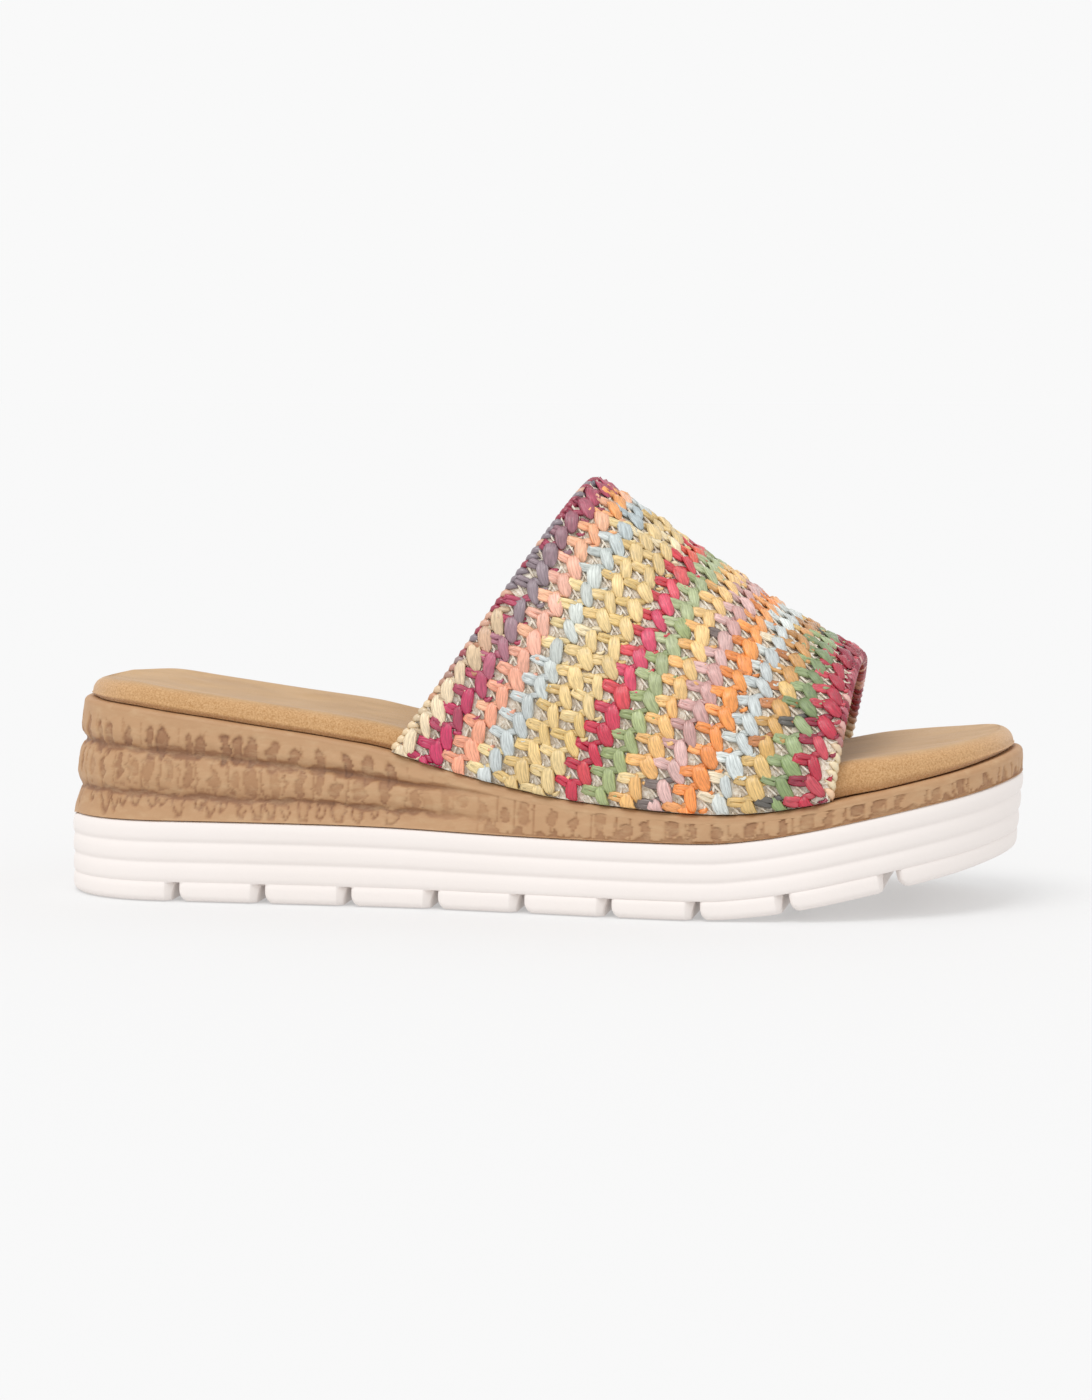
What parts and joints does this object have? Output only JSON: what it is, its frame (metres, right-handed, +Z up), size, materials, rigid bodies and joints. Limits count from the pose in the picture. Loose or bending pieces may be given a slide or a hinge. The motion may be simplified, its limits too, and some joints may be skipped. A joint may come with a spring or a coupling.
{
  "type": "wedge slide sandal",
  "caption": "Slip-on wedge sandal with a wide woven band, padded suede insole, bark-textured wedge and cleated white platform sole.",
  "frame": {"origin": "on the floor, under the middle of the sandal's bounding box", "axes": "+X towards the toe, +Z up, -Y towards the outer side of the foot"},
  "size_m": [0.2618, 0.0966, 0.1136],
  "materials": {
    "white_foam_rubber": "matte moulded foam rubber",
    "bark_foam": "matte foam with an embossed bark pattern",
    "tan_suede": "napped suede",
    "woven_raffia": "glossy raffia strips over linen yarn"
  },
  "bodies": {
    "root": {"outsole": "white_foam_rubber", "wedge_midsole": "bark_foam", "insole": "tan_suede", "woven_band": "woven_raffia"}
  },
  "joints": []
}
